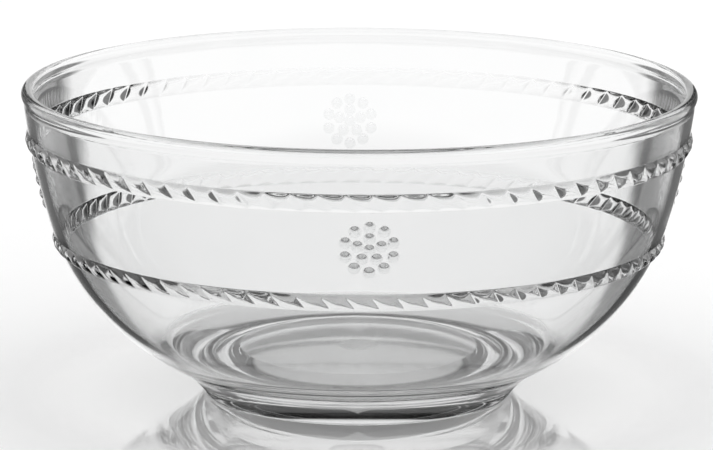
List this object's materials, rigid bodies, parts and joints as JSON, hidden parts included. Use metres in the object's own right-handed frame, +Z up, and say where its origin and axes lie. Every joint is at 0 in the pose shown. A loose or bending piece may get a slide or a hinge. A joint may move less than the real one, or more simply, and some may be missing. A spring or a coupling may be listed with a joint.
{
  "type": "berry bowl",
  "caption": "Clear glass serving bowl with a rolled rim, two moulded rope bands, raised bead clusters between them and a coved hollow foot.",
  "frame": {"origin": "on the table, under the centre of the foot", "axes": "+Z up along the bowl's axis, -Y towards the cluster that faces the camera, +X to the camera's right"},
  "size_m": [0.25, 0.25, 0.1155],
  "materials": {
    "clear_glass": "clear, fire-polished",
    "frosted_glass": "clear, matt where the mould's gate was broken off"
  },
  "bodies": {
    "root": {"bowl_body": "clear_glass", "rim_roll": "clear_glass", "upper_rope": "clear_glass", "lower_rope": "clear_glass", "front_beads": "clear_glass", "right_beads": "clear_glass", "back_beads": "clear_glass", "left_beads": "clear_glass", "foot_ring": "clear_glass", "gate_disc": "frosted_glass"}
  },
  "joints": []
}
